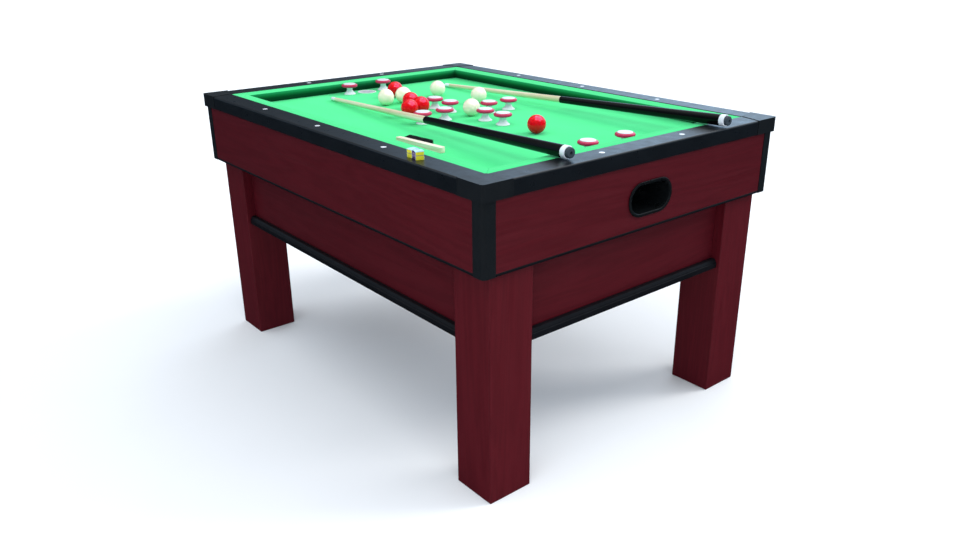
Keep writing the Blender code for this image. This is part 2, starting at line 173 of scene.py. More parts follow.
def inset_range(node, side):
    """How far a node's near and far faces lie inwards from the table's outer edge on that side."""
    low, high = box_of(node)
    axis = "y" if side in ("front", "rear") else "x"
    half, low, high = TABLE_HALF[axis], getattr(low, axis), getattr(high, axis)
    return (half + low, half + high) if side in ("front", "left") else (half - high, half - low)


def moved(place):
    return Matrix.Translation(place)


def turned(degrees, axis="Z"):
    return Matrix.Rotation(radians(degrees), 4, axis)


# ---- node materials

def new_material(name, roughness=0.5, specular=0.5, **values):
    material = bpy.data.materials.new(name)
    material.use_nodes = True
    tree = material.node_tree
    shader = tree.nodes["Principled BSDF"]
    shader.inputs["Roughness"].default_value = roughness
    shader.inputs["Specular IOR Level"].default_value = specular
    for label, value in values.items():
        shader.inputs[label.replace("_", " ")].default_value = value
    return material, tree, shader


def add_node(tree, kind, values=None, **settings):
    made = tree.nodes.new("ShaderNode" + kind)
    for label, value in settings.items():
        setattr(made, label, value)
    for label, value in (values or {}).items():
        if isinstance(value, bpy.types.NodeSocket):
            tree.links.new(value, made.inputs[label])
        else:
            made.inputs[label].default_value = value
    return made


def plug(value, node, label):
    """Join an output to the input of that name on a node."""
    node.id_data.links.new(value, node.inputs[label])


def object_coordinates(tree, scale=(1, 1, 1), vary=False):
    """Object coordinates stretched by scale; vary moves the pattern on by where the object stands."""
    vector = add_node(tree, "TexCoord").outputs["Object"]
    if vary:
        place = add_node(tree, "ObjectInfo").outputs["Location"]
        offset = add_node(tree, "VectorMath", {0: place, 3: 7.3}, operation="SCALE")
        total = add_node(tree, "VectorMath", {0: vector, 1: offset.outputs[0]}, operation="ADD")
        vector = total.outputs[0]
    return add_node(tree, "Mapping", {"Vector": vector, "Scale": scale}).outputs[0]


def noise_of(tree, vector, scale, detail=4.0, roughness=0.5, distortion=0.0):
    values = {"Vector": vector, "Scale": scale, "Detail": detail, "Roughness": roughness}
    return add_node(tree, "TexNoise", {**values, "Distortion": distortion}).outputs[0]


def ramp_of(tree, factor, stops):
    """A colour ramp; each stop is (position, (r, g, b)) or (position, grey)."""
    made = add_node(tree, "ValToRGB", {"Fac": factor})
    elements = made.color_ramp.elements
    while len(elements) < len(stops):
        elements.new(0.5)
    for element, (position, colour) in zip(elements, stops):
        rgb = colour if isinstance(colour, tuple) else (colour, colour, colour)
        element.position = position
        element.color = (*rgb, 1.0)
    return made.outputs[0]


def range_of(tree, value, low, high, to_low, to_high, curve="LINEAR"):
    values = {0: value, 1: low, 2: high, 3: to_low, 4: to_high}
    return add_node(tree, "MapRange", values, interpolation_type=curve).outputs[0]


def mix_of(tree, factor, first, second, blend="MIX"):
    made = add_node(tree, "Mix", data_type="RGBA", blend_type=blend)
    for index, value in ((0, factor), (6, first), (7, second)):
        if isinstance(value, bpy.types.NodeSocket):
            tree.links.new(value, made.inputs[index])
        elif index == 0:
            made.inputs[0].default_value = value
        else:
            made.inputs[index].default_value = (*value, 1.0)
    return made.outputs[2]


def math_of(tree, operation, first, second=0.5):
    return add_node(tree, "Math", {0: first, 1: second}, operation=operation).outputs[0]


def add_colour(tree, shader, factor, stops):
    plug(ramp_of(tree, factor, stops), shader, "Base Color")


def add_bump(tree, shader, height, strength, distance):
    values = {"Height": height, "Strength": strength, "Distance": distance}
    made = add_node(tree, "Bump", values)
    plug(made.outputs[0], shader, "Normal")


def grain_material(name, dark, middle, light, roughness, specular, fine=1.0):
    """Wood grain along the object's own X axis: pores, streaks and slow bands of colour."""
    material, tree, shader = new_material(name, roughness, specular)
    pore_scale = (22 * fine, 900 * fine, 900 * fine)
    pores = noise_of(tree, object_coordinates(tree, pore_scale, True), 1.0, 3.0, 0.6)
    streaks = noise_of(tree, object_coordinates(tree, (3.0, 120, 120), True), 1.0, 6.0, 0.6, 0.6)
    bands = noise_of(tree, object_coordinates(tree, (0.9, 13, 13), True), 1.0, 3.0, 0.5, 1.4)
    rings = math_of(tree, "SINE", math_of(tree, "MULTIPLY", bands, 42.0))
    rings = range_of(tree, rings, -1.0, 1.0, 0.0, 1.0)
    soft = mix_of(tree, 0.35, streaks, rings)
    colour = ramp_of(tree, soft, [(0.28, dark), (0.52, middle), (0.78, light)])
    shade = ramp_of(tree, pores, [(0.36, 0.74), (0.50, 1.0)])
    colour = mix_of(tree, 0.50, colour, shade, "MULTIPLY")
    plug(colour, shader, "Base Color")
    gloss = range_of(tree, streaks, 0.3, 0.7, roughness - 0.05, roughness + 0.07)
    plug(gloss, shader, "Roughness")
    add_bump(tree, shader, pores, 0.10, 0.0004)
    return material


def plastic_material(name, colour, roughness, specular, texture=900.0, bump=0.12, coat=0.0):
    """Moulded plastic: a fine etched texture, slow mottling and a little unevenness in its gloss."""
    material, tree, shader = new_material(name, roughness, specular, Coat_Weight=coat)
    vector = object_coordinates(tree)
    mottle = noise_of(tree, vector, 9.0, 5.0, 0.6)
    low = tuple(c * 0.80 for c in colour)
    high = tuple(min(1.0, c * 1.15) for c in colour)
    add_colour(tree, shader, mottle, [(0.3, low), (0.7, high)])
    smear = noise_of(tree, vector, 32.0, 4.0, 0.65)
    gloss = range_of(tree, smear, 0.3, 0.7, max(0.03, roughness - 0.06), roughness + 0.06)
    plug(gloss, shader, "Roughness")
    if bump:
        add_bump(tree, shader, noise_of(tree, vector, texture, 2.0, 0.5), bump, 0.0003)
    return material


def cloth_material(name, dark, light):
    """Napped wool cloth: a fine weave under short fibres, with slow changes of shade."""
    material, tree, shader = new_material(name, 0.95, 0.10, Sheen_Weight=0.25, Sheen_Roughness=0.5)
    shader.inputs["Sheen Tint"].default_value = (0.55, 1.0, 0.70, 1.0)
    vector = object_coordinates(tree)
    nap = noise_of(tree, vector, 1100.0, 3.0, 0.65)
    drift = noise_of(tree, object_coordinates(tree, (2.0, 5.0, 5.0)), 1.0, 4.0, 0.55, 0.4)
    warp = add_node(tree, "TexWave", {"Vector": vector, "Scale": 260.0}, bands_direction="X")
    weft = add_node(tree, "TexWave", {"Vector": vector, "Scale": 260.0}, bands_direction="Y")
    weave = math_of(tree, "MULTIPLY", warp.outputs[1], weft.outputs[1])
    shade = mix_of(tree, 0.45, drift, nap)
    add_colour(tree, shader, shade, [(0.30, dark), (0.70, light)])
    height = math_of(tree, "ADD", math_of(tree, "MULTIPLY", weave, 0.5), nap)
    add_bump(tree, shader, height, 0.25, 0.0003)
    return material


def nose_shade_material(name, dark, light):
    """The cushion's cloth where it turns under, with painted shade: darker than the cushion cloth, and
    darker still toward its foot.
    """
    material, tree, shader = new_material(name, 0.95, 0.05)
    vector = object_coordinates(tree)
    height = add_node(tree, "SeparateXYZ", {"Vector": vector}).outputs[2]
    # Painted shade: darkest at the foot, lightening toward the cushion top
    shade_rise = range_of(tree, height, BED_TOP + 0.012, RAIL_TOP - 0.003, 0.0, 1.0)
    nap = noise_of(tree, vector, 1100.0, 3.0, 0.65)
    shade = mix_of(tree, 0.15, shade_rise, nap)
    add_colour(tree, shader, shade, [(0.10, dark), (0.90, light)])
    add_bump(tree, shader, nap, 0.25, 0.0003)
    return material


def board_material(name, dark, light):
    """Raw fibreboard: pressed fibres with no direction."""
    material, tree, shader = new_material(name, 0.85, 0.2)
    vector = object_coordinates(tree)
    fibres = noise_of(tree, vector, 420.0, 4.0, 0.7)
    blotches = noise_of(tree, vector, 14.0, 5.0, 0.6)
    add_colour(tree, shader, mix_of(tree, 0.5, fibres, blotches), [(0.34, dark), (0.66, light)])
    add_bump(tree, shader, fibres, 0.3, 0.0004)
    return material


def resin_material(name, colour, cloud, roughness):
    """Polished ball resin: faint clouding in the colour and fine rub marks in the gloss."""
    material, tree, shader = new_material(name, roughness, 0.30)
    vector = object_coordinates(tree, vary=True)
    clouds = noise_of(tree, vector, 38.0, 5.0, 0.55, 0.5)
    add_colour(tree, shader, clouds, [(0.35, cloud), (0.65, colour)])
    rubs = noise_of(tree, vector, 260.0, 6.0, 0.7)
    gloss = range_of(tree, rubs, 0.35, 0.7, roughness - 0.05, roughness + 0.06)
    plug(gloss, shader, "Roughness")
    return material


def metal_material(name, colour, roughness):
    material, tree, shader = new_material(name, roughness, 0.5, Metallic=1.0)
    vector = object_coordinates(tree, (1, 1, 8))
    brushed = noise_of(tree, vector, 600.0, 3.0, 0.6)
    low = tuple(c * 0.8 for c in colour)
    add_colour(tree, shader, brushed, [(0.3, low), (0.7, colour)])
    plug(range_of(tree, brushed, 0.3, 0.7, roughness, roughness + 0.15), shader, "Roughness")
    return material


MAHOGANY = grain_material(
    "mahogany_laminate",
    (0.064, 0.0037, 0.0070), (0.071, 0.0042, 0.0079), (0.078, 0.0048, 0.0088), 0.38, 0.16,
)
LEG_MAHOGANY = grain_material(
    "leg_laminate",
    (0.073, 0.0042, 0.0078), (0.081, 0.0048, 0.0088), (0.089, 0.0055, 0.0098), 0.38, 0.16,
)
RAIL_BLACK = plastic_material("rail_laminate", (0.0045, 0.0060, 0.0080), 0.32, 0.5, 700.0, 0.12)
CORNER_BLACK = plastic_material("corner_plastic", (0.0065, 0.0080, 0.0095), 0.36, 0.5, 1200.0, 0.12)
TRIM_BLACK = plastic_material("trim_plastic", (0.0050, 0.0052, 0.0070), 0.45, 0.2, 900.0, 0.06)
RETURN_BLACK = plastic_material("return_plastic", (0.0045, 0.0055, 0.0060), 0.30, 0.4, 1000.0, 0.06)
CLOTH = cloth_material("bed_cloth", (0.045, 0.66, 0.20), (0.070, 0.78, 0.27))
CUSHION_CLOTH = cloth_material("cushion_cloth", (0.030, 0.56, 0.16), (0.055, 0.70, 0.23))
# Painted shade: a dark copy of the cushion cloth for the undercut under the nose
NOSE_SHADE_CLOTH = nose_shade_material("nose_painted_shade_cloth", (0.003, 0.055, 0.022), (0.016, 0.300, 0.100))
BOARD = board_material("fibreboard", (0.16, 0.095, 0.05), (0.30, 0.19, 0.11))
ASH = grain_material(
    "brush_ash", (0.72, 0.62, 0.44), (0.82, 0.74, 0.58), (0.90, 0.84, 0.70), 0.4, 0.4, 1.2,
)
PINE = grain_material("pine", (0.40, 0.26, 0.12), (0.55, 0.38, 0.20), (0.66, 0.49, 0.28), 0.6, 0.3, 0.6)
WHITE = plastic_material("white_plastic", (0.82, 0.84, 0.88), 0.22, 0.5, 700.0, 0.03)
# Painted light: the white plastic made brighter so that the pocket's shaded inner wall reads white
LINER_BRIGHTENED_WHITE = plastic_material("liner_white_painted_light", (0.93, 0.95, 0.97), 0.35, 0.5, 700.0, 0.03)
RING_RUBBER = plastic_material("ring_rubber", (0.56, 0.022, 0.090), 0.32, 0.45, 800.0, 0.08)
RED_RESIN = resin_material("red_resin", (0.82, 0.001, 0.006), (0.72, 0.001, 0.005), 0.15)
CREAM_RESIN = resin_material("cream_resin", (0.93, 0.85, 0.67), (0.88, 0.80, 0.60), 0.15)
MAPLE = grain_material(
    "cue_maple", (0.66, 0.55, 0.33), (0.78, 0.70, 0.48), (0.86, 0.80, 0.60), 0.25, 0.5, 1.6
)
CUE_BLACK = plastic_material("cue_lacquer", (0.0020, 0.0022, 0.0024), 0.20, 0.12, 300.0, 0.02)
CUE_RUBBER = plastic_material("cue_rubber", (0.034, 0.048, 0.060), 0.55, 0.4, 900.0, 0.2)
TIP_LEATHER = plastic_material("tip_leather", (0.30, 0.45, 0.50), 0.8, 0.2, 900.0, 0.5)
STEEL = metal_material("zinc_steel", (0.62, 0.63, 0.65), 0.30)


# ---- meshes and pieces

PIECES = []


def piece_of(name, mesh, material, replaces=(), matrix=None, body="table"):
    """Link a mesh as a piece that moves with a body, and stands for the CAD nodes it replaces."""
    piece = bpy.data.objects.new(name, mesh)
    bpy.context.scene.collection.objects.link(piece)
    mesh.materials.append(material)
    if matrix is not None:
        piece.matrix_world = matrix
    bpy.context.view_layer.update()
    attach(piece, body)
    if replaces:
        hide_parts(*replaces)
    PIECES.append(piece)
    return piece


def flatten_shading():
    """Lean each piece's shading toward its big faces, so that rounded edges don't bend it."""
    for piece in PIECES:
        modifier = piece.modifiers.new("shading", "WEIGHTED_NORMAL")
        modifier.keep_sharp = True


def mesh_of(name, points, faces, smooth_angle=35):
    mesh = bpy.data.meshes.new(name)
    mesh.from_pydata([tuple(p) for p in points], [], faces)
    tidy_mesh(mesh, smooth_angle)
    return mesh


def tidy_mesh(mesh, smooth_angle=35):
    bm = bmesh.new()
    bm.from_mesh(mesh)
    bmesh.ops.remove_doubles(bm, verts=bm.verts, dist=0.00001)
    bmesh.ops.recalc_face_normals(bm, faces=bm.faces)
    bm.to_mesh(mesh)
    bm.free()
    mesh.shade_smooth()
    mesh.set_sharp_from_angle(angle=radians(smooth_angle))


def round_edges(piece, width, segments=3, angle=40):
    """Round the sharp edges of a piece with a bevel."""
    modifier = piece.modifiers.new("rounding", "BEVEL")
    modifier.width = width
    modifier.segments = segments
    modifier.limit_method = "ANGLE"
    modifier.angle_limit = radians(angle)
    return piece


def arc(centre, radius, start, end, steps=6):
    angles = [radians(start + (end - start) * i / steps) for i in range(steps + 1)]
    return [(centre[0] + radius * cos(a), centre[1] + radius * sin(a)) for a in angles]


def filleted(corners, steps=5):
    """An outline of (x, y, radius) corners, with each corner rounded to its radius."""
    outline = []
    count = len(corners)
    for i, (x, y, radius) in enumerate(corners):
        here = Vector((x, y))
        if radius <= 0:
            outline.append((x, y))
            continue
        before = (Vector(corners[i - 1][:2]) - here).normalized()
        after = (Vector(corners[(i + 1) % count][:2]) - here).normalized()
        half_angle = before.angle(after) / 2
        reach = radius / (sin(half_angle) / cos(half_angle))
        centre = here + (before + after).normalized() * (radius / sin(half_angle))
        first = here + before * reach - centre
        last = here + after * reach - centre
        for step in range(steps + 1):
            turn = first.angle_signed(last) * step / steps
            spoke = Matrix.Rotation(-turn, 2) @ first
            outline.append(tuple(centre + spoke))
    return outline


def member_mesh(name, section, half, end_cut, smooth_angle=35):
    """A section of (inset, height) points run along local X, its ends cut back by end_cut(inset)."""
    count = len(section)
    points = [(-(half - end_cut(y)), y, z) for y, z in section]
    points += [((half - end_cut(y)), y, z) for y, z in section]
    faces = [(i, (i + 1) % count, count + (i + 1) % count, count + i) for i in range(count)]
    faces += [tuple(range(count)), tuple(range(count, 2 * count))]
    return mesh_of(name, points, faces, smooth_angle)


def side_matrix(side):
    angle, place = PLACES[side][:2]
    return moved(place) @ turned(angle)


def side_piece(name, side, section, end_cut, material, replaces=(), smooth_angle=35):
    """A member drawn along the front, turned to its own side of the table."""
    mesh = member_mesh(name, section, PLACES[side][2], end_cut, smooth_angle)
    return piece_of(name, mesh, material, replaces, side_matrix(side))


def plate_mesh(name, loops, low, high):
    """Loops in plan, the first the edge and the others holes, filled and raised from low to high."""
    curve = bpy.data.curves.new(name, "CURVE")
    curve.dimensions = "2D"
    curve.fill_mode = "BOTH"
    curve.extrude = (high - low) / 2
    for loop in loops:
        spline = curve.splines.new("POLY")
        spline.points.add(len(loop) - 1)
        for point, (x, y) in zip(spline.points, loop):
            point.co = (x, y, 0, 1)
        spline.use_cyclic_u = True
    guide = bpy.data.objects.new(name, curve)
    bpy.context.scene.collection.objects.link(guide)
    graph = bpy.context.evaluated_depsgraph_get()
    mesh = bpy.data.meshes.new_from_object(guide.evaluated_get(graph))
    bpy.data.objects.remove(guide)
    bpy.data.curves.remove(curve)
    mesh.transform(moved((0, 0, (low + high) / 2)))
    tidy_mesh(mesh)
    return mesh


def lathe_mesh(name, profile, steps=64, smooth_angle=35):
    """A profile of (radius, height) points turned about Z; a point on the axis closes an end."""
    points, rings, faces = [], [], []
    for radius, height in profile:
        if radius < 1e-7:
            rings.append([len(points)] * steps)
            points.append((0, 0, height))
            continue
        rings.append(list(range(len(points), len(points) + steps)))
        points += [(x, y, height) for x, y in circle((0, 0), radius, steps)]
    for upper, lower in zip(rings, rings[1:]):
        for i in range(steps):
            corners = [upper[i], upper[(i + 1) % steps], lower[(i + 1) % steps], lower[i]]
            unique = list(dict.fromkeys(corners))
            if len(unique) > 2:
                faces.append(tuple(unique))
    return mesh_of(name, points, faces, smooth_angle)


def box_mesh(name, size):
    bm = bmesh.new()
    bmesh.ops.create_cube(bm, size=1.0, matrix=Matrix.Diagonal((*size, 1.0)))
    mesh = bpy.data.meshes.new(name)
    bm.to_mesh(mesh)
    bm.free()
    return mesh


def circle(centre, radius, steps):
    angles = [2 * pi * i / steps for i in range(steps)]
    return [(centre[0] + radius * cos(a), centre[1] + radius * sin(a)) for a in angles]


def carve(piece, cutter_mesh, matrix=None, operation="DIFFERENCE"):
    """Cut a mesh out of a piece, or join it on, and apply the result."""
    cutter = bpy.data.objects.new("cutter", cutter_mesh)
    bpy.context.scene.collection.objects.link(cutter)
    cutter.matrix_world = matrix or Matrix.Identity(4)
    modifier = piece.modifiers.new("carve", "BOOLEAN")
    modifier.operation = operation
    modifier.solver = "EXACT"
    modifier.object = cutter
    graph = bpy.context.evaluated_depsgraph_get()
    mesh = bpy.data.meshes.new_from_object(piece.evaluated_get(graph))
    piece.modifiers.clear()
    piece.data = mesh
    tidy_mesh(mesh)
    bpy.data.objects.remove(cutter)
    return piece


# ---- camera, floor and light

def add_camera():
    azimuth, elevation = radians(CAMERA_AZIMUTH), radians(CAMERA_ELEVATION)
    back = Vector((sin(azimuth) * cos(elevation), -cos(azimuth) * cos(elevation), sin(elevation)))
    data = bpy.data.cameras.new("camera")
    data.sensor_width = 36.0
    data.lens = CAMERA_LENS
    camera = bpy.data.objects.new("camera", data)
    bpy.context.scene.collection.objects.link(camera)
    level = (-back).to_track_quat("-Z", "Y").to_matrix().to_4x4()
    roll = turned(CAMERA_ROLL)
    camera.matrix_world = moved(CAMERA_AT) @ level @ roll
    bpy.context.scene.camera = camera


def add_floor():
    """A plain pale floor; from below it is clear, so that the table's underside can be seen."""
    reach = 900.0
    material, tree, shader = new_material("studio_floor", 0.9, 0.05)
    speckle = noise_of(tree, object_coordinates(tree), 3.0, 4.0, 0.5)
    add_colour(tree, shader, speckle, [(0.3, (0.895, 0.90, 0.905)), (0.7, (0.905, 0.91, 0.915))])
    clear = add_node(tree, "BsdfTransparent").outputs[0]
    from_below = add_node(tree, "NewGeometry").outputs["Backfacing"]
    either = add_node(tree, "MixShader", {0: from_below, 1: shader.outputs[0], 2: clear})
    plug(either.outputs[0], tree.nodes["Material Output"], "Surface")
    corners = [(-reach, -reach, 0), (reach, -reach, 0), (reach, reach, 0), (-reach, reach, 0)]
    mesh = bpy.data.meshes.new("studio_floor")
    mesh.from_pydata(corners, [], [(0, 1, 2, 3)])
    mesh.materials.append(material)
    floor = bpy.data.objects.new("studio_floor", mesh)
    bpy.context.scene.collection.objects.link(floor)
    floor.visible_glossy = False


def add_sky():
    """A bright overhead wash over a paler horizon, dim where the room is dark beyond the far end.

    Glossy faces see it dimmer on the camera's side, and behind the table there is plain white.
    """
    world = bpy.data.worlds.new("studio")
    bpy.context.scene.world = world
    world.use_nodes = True
    tree = world.node_tree
    background = tree.nodes["Background"]
    direction = add_node(tree, "TexCoord").outputs["Generated"]

    def toward(way):
        made = add_node(tree, "VectorMath", {0: direction, 1: way}, operation="DOT_PRODUCT")
        return made.outputs["Value"]

    height = add_node(tree, "SeparateXYZ", {"Vector": direction}).outputs[2]
    wash = range_of(tree, height, 0.10, 0.95, 0.80, 1.55, "SMOOTHSTEP")
    above = range_of(tree, height, -0.03, 0.01, 0.03, 1.0, "SMOOTHSTEP")
    dim = range_of(tree, toward(DARK_WAY), 0.66, 0.98, 1.0, 0.05, "SMOOTHSTEP")
    glow = range_of(tree, toward(BRIGHT_WAY), 0.86, 1.0, 0.0, 0.7, "SMOOTHSTEP")
    total = math_of(tree, "ADD", math_of(tree, "MULTIPLY", wash, dim), glow)
    tint = ramp_of(tree, height, [(0.15, (0.60, 0.94, 1.32)), (0.60, (0.95, 0.985, 1.03))])
    plug(tint, background, "Color")
    kept = range_of(tree, toward(AWAY_WAY), -0.10, 0.45, 0.12, 1.0, "SMOOTHSTEP")
    mirrored = math_of(tree, "MULTIPLY", total, kept)
    rays = add_node(tree, "LightPath").outputs
    strength = add_node(tree, "Mix", {0: rays["Is Glossy Ray"], 2: total, 3: mirrored}).outputs[0]
    plug(math_of(tree, "MULTIPLY", strength, above), background, "Strength")
    backdrop = add_node(tree, "Background", {"Color": (1.0, 1.0, 1.0, 1.0), "Strength": 1.0})
    shaders = {0: rays["Is Camera Ray"], 1: background.outputs[0], 2: backdrop.outputs[0]}
    plug(add_node(tree, "MixShader", shaders).outputs[0], tree.nodes["World Output"], "Surface")


def add_lamp(name, kind, energy, place=(0, 0, 0), towards=(0, 0, -1), **settings):
    data = bpy.data.lights.new(name, kind)
    data.energy = energy
    for label, value in settings.items():
        setattr(data, label, value)
    lamp = bpy.data.objects.new(name, data)
    bpy.context.scene.collection.objects.link(lamp)
    turn = Vector(towards).to_track_quat("-Z", "Y").to_matrix().to_4x4()
    lamp.matrix_world = moved(place) @ turn
    lamp.visible_glossy = kind == "AREA"
    return lamp


def add_light():
    add_sky()
    add_lamp("soft_sun", "SUN", 1.5, towards=(-0.36, -0.77, -0.53), angle=radians(24))
    add_lamp("overhead_lamp", "AREA", 5.0, place=(0.8, -0.8, 2.8), size=0.35)
    add_lamp("fill_lamp", "POINT", 14.0, place=(1.5, -1.7, 0.9), shadow_soft_size=0.5)
    bpy.context.scene.view_settings.view_transform = "Standard"


# ---- cabinet

def build_legs():
    upright = turned(-90, "Y")
    for corner in CORNER_SIGNS:
        name = f"leg_{corner}"
        low, high = box_of(name)
        size = high - low
        mesh = box_mesh(name, (size.z, size.y, size.x))
        matrix = moved((low + high) / 2) @ upright
        leg = piece_of(name, mesh, LEG_MAHOGANY, [name], matrix)
        round_edges(leg, 0.0022, 4)


def stadium(radius, centre=(0, 0)):
    """The return opening's outline: two half circles joined by straight runs."""
    x, y = centre
    right = arc((x + RETURN_STRAIGHT, y), radius, -90, 90, 16)
    return right + arc((x - RETURN_STRAIGHT, y), radius, 90, 270, 16)


def build_aprons():
    for side in SIDES:
        name = f"apron_{side}"
        low, high = box_of(name)
        outer = inset_range(name, side)[0]
        inner = outer + APRON_RECESS + APRON_THICKNESS
        half = half_length(name, side)
        bottom = low.z + STRIP_HEIGHT
        board = [(-half, bottom), (half, bottom), (half, high.z), (-half, high.z)]
        mesh = plate_mesh(name, [board], 0, APRON_THICKNESS)
        stand = Matrix(((1, 0, 0, 0), (0, 0, -1, inner), (0, 1, 0, 0), (0, 0, 0, 1)))
        matrix = side_matrix(side) @ stand
        apron = piece_of(name, mesh, MAHOGANY, [name], matrix)
        round_edges(apron, 0.0006, 2)
        if side in ("left", "right"):
            opening = stadium(TUBE_RADIUS + GAP, (RETURN_SHIFT, RETURN_Z))
            carve(apron, plate_mesh("opening", [opening], -0.05, 0.05), matrix)
        build_strip(side, outer, inner, low.z, PLACES[side][2] - half)
        build_cleats(side, inner)


def build_strip(side, outer, inner, bottom, end):
    """Plastic edging along the apron's lower edge, a millimetre proud of its face."""
    top = bottom + STRIP_HEIGHT - 0.0001
    section = filleted([
        (outer, bottom, STRIP_ROUND), (outer, top, STRIP_ROUND),
        (inner, top, 0.0005), (inner, bottom, 0.001),
    ])
    side_piece(f"apron_edging_{side}", side, section, lambda inset: end, TRIM_BLACK)


def build_cleats(side, face):
    """Battens glued behind the aprons, which the bed rests on; the end ones leave room for the tray."""
    top = BED_BOTTOM - GAP
    if side in ("front", "rear"):
        depth = SIDE_CLEAT_DEPTH
        runs = [(0, PLACES[side][2] - SIDE_CLEAT_STOP)]
    else:
        depth = END_CLEAT_DEPTH
        leg_inner = box_of("leg_rear_right")[0].y
        half = (leg_inner - END_CLEAT_START) / 2 - 0.001
        runs = [(sign * (END_CLEAT_START + leg_inner) / 2, half) for sign in (-1, 1)]
    near, far = face + GAP, face + depth
    section = [(near, CLEAT_BOTTOM), (near, top), (far, top), (far, CLEAT_BOTTOM)]
    for index, (middle, half) in enumerate(runs, 1):
        name = f"cleat_{side}_{index}"
        mesh = member_mesh(name, section, half, lambda inset: 0)
        mesh.transform(moved((middle, 0, 0)))
        cleat = piece_of(name, mesh, PINE, (), side_matrix(side))
        round_edges(cleat, 0.001, 2)


def corner_mesh(node, outline):
    """An outline drawn inwards from a table corner, as tall as the node and turned to its corner."""
    low, high = box_of(node)
    sign_x, sign_y = next(signs for corner, signs in CORNER_SIGNS.items() if node.endswith(corner))
    mesh = plate_mesh(node, [outline], low.z, high.z)
    outer = Vector((high.x if sign_x > 0 else low.x, high.y if sign_y > 0 else low.y, 0))
    mesh.transform(moved(outer) @ Matrix.Diagonal((-sign_x, -sign_y, 1, 1)))
    tidy_mesh(mesh)
    return mesh, outer


def build_posts():
    for corner in CORNER_SIGNS:
        name = f"corner_post_{corner}"
        low, high = box_of(name)
        width = high.x - low.x
        thick = POST_THICKNESS
        outline = filleted([
            (0, 0, POST_ROUND), (width, 0, 0.0008), (width, thick, 0.0008),
            (thick, thick, 0.001), (thick, width, 0.0008), (0, width, 0.0008),
        ], 10)
        mesh = corner_mesh(name, outline)[0]
        post = piece_of(name, mesh, CORNER_BLACK, [name])
        round_edges(post, 0.0010, 3)


def build_panels():
    for side in SIDES:
        name = f"lower_panel_{side}"
        low, high = box_of(name)
        front, back = inset_range(name, side)
        face = back - PANEL_THICKNESS
        end = PLACES[side][2] - half_length(name, side)
        bottom = low.z + 0.001
        outline = [(face, bottom, 0.0006), (face, high.z, 0.0006), (back, high.z, 0), (back, bottom, 0)]
        section = filleted(outline, 2)
        side_piece(name, side, section, lambda inset: end, MAHOGANY, [name])
        step = front + 0.0025
        top = low.z + MOULDING_HEIGHT
        ledge = filleted([
            (front, low.z, 0.0025), (front, low.z + 0.0150, 0.0015), (step, low.z + 0.0170, 0.001),
            (step, low.z + 0.0190, 0.0005), (front + 0.0075, top, 0.0045),
            (face - GAP, top, 0.0005), (face - GAP, low.z, 0.0005),
        ])
        side_piece(f"ledge_{side}", side, ledge, lambda inset: end, TRIM_BLACK)


# ---- rails, cushions and bed

def rail_end(inset):
    """How far a rail stops short of the corner at an inset; its ends lean with the corner piece."""
    low, high = box_of("rail_corner_front_right")
    reach = high.x - low.x
    width = inset_range("rail_front", "front")[1]
    return reach - (reach - width) * inset / width + GAP


def build_rails():
    for side in SIDES:
        name = f"rail_{side}"
        outer, inner = inset_range(name, side)
        bottom = BED_TOP + GAP
        section = filleted([
            (outer, RAIL_BOTTOM, 0.0008), (outer, RAIL_TOP, RAIL_ROUND), (inner, RAIL_TOP, 0.0010),
            (inner, bottom, 0.0005), (RAIL_LIP, bottom, 0.0005), (RAIL_LIP, RAIL_BOTTOM, 0.0005),
        ], 6)
        rail = side_piece(name, side, section, rail_end, RAIL_BLACK, [name])
        round_edges(rail, 0.0005, 2)
        build_sights(side)


def build_sights(side):
    """Pearl dots let into the rail's top, a hair proud of it."""
    radius = SIGHT_RADIUS
    profile = [(0, 0.0004), (radius - 0.0012, 0.00035), (radius - 0.0003, 0.0001)]
    profile += [(radius, -0.0004), (radius, -0.0015), (0, -0.0015)]
    way = -1 if side in ("rear", "left") else 1
    for index, along in enumerate(SIGHTS[side], 1):
        name = f"sight_{side}_{index}"
        matrix = side_matrix(side) @ moved((way * along, SIGHT_INSET, RAIL_TOP))
        piece_of(name, lathe_mesh(name, profile, 32), WHITE, (), matrix)


def build_rail_corners():
    room_size = Vector((0.2, 0.2, 0.1))
    for corner, (sign_x, sign_y) in CORNER_SIGNS.items():
        name = f"rail_corner_{corner}"
        low, high = box_of(name)
        reach = high.x - low.x
        width = inset_range("rail_front", "front")[1]
        outline = filleted([
            (0, 0, CORNER_ROUND), (reach, 0, 0.0006), (width, width, 0.0006), (0, reach, 0.0006),
        ], 10)
        mesh, outer = corner_mesh(name, outline)
        cap = piece_of(name, mesh, CORNER_BLACK, [name])
        shift = RAIL_LIP + room_size.x / 2
        under = BED_TOP + GAP - room_size.z / 2
        place = moved((outer.x - sign_x * shift, outer.y - sign_y * shift, under))
        carve(cap, box_mesh("room", room_size), place)
        round_edges(cap, 0.0016, 4)


def build_cushions():
    for side in SIDES:
        name = f"cushion_{side}"
        low, high = box_of(name)
        back, nose = inset_range(name, side)
        top = high.z
        section = filleted([
            (back, low.z, 0.0), (back, top - 0.0008, 0.0012), (back + 0.0150, top, 0.03),
            (nose, top - CUSHION_NOSE_TOP, 0.0045), (nose, top - CUSHION_NOSE_FOOT, 0.0020),
            (nose - CUSHION_UNDERCUT, low.z, 0.0),
        ], 6)
        end_cut = lambda inset: inset + GAP
        cushion = side_piece(name, side, section, end_cut, CUSHION_CLOTH, [name], 60)
        # The undercut faces that face the bed take the second slot, the painted shade cloth
        cushion.data.materials.append(NOSE_SHADE_CLOTH)
        for face in cushion.data.polygons:
            if face.normal.y > 0.6 and face.center.z < top - NOSE_SHADE_BELOW:
                face.material_index = 1


def bumper_nodes():
    flanking = [f"bumper_{side}_{index}" for side in ("left", "right") for index in (1, 2)]
    return [f"bumper_centre_{index}" for index in range(1, 9)] + flanking


